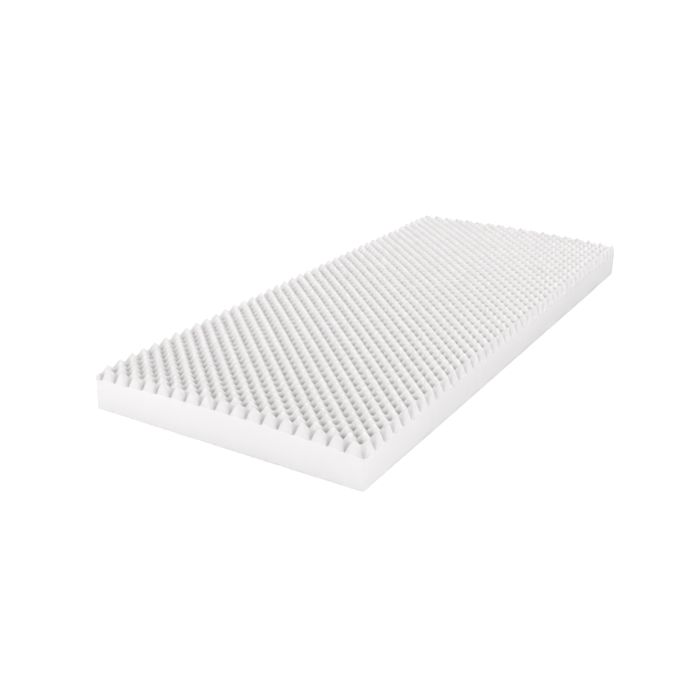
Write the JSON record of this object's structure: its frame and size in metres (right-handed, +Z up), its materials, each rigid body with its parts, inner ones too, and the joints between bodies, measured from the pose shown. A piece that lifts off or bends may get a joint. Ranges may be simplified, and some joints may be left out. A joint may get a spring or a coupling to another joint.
{
  "type": "foam mattress",
  "caption": "Bare foam mattress: a flat-sided block with a slightly crowned top cut into a staggered field of cones and pits.",
  "frame": {"origin": "middle of the flat underside", "axes": "+X across the width, +Y along the length, +Z up towards the cones"},
  "size_m": [0.8, 1.9, 0.129],
  "materials": {
    "foam": "matt open-cell polyurethane foam, white"
  },
  "bodies": {
    "root": {"mattress": "foam"}
  },
  "joints": []
}
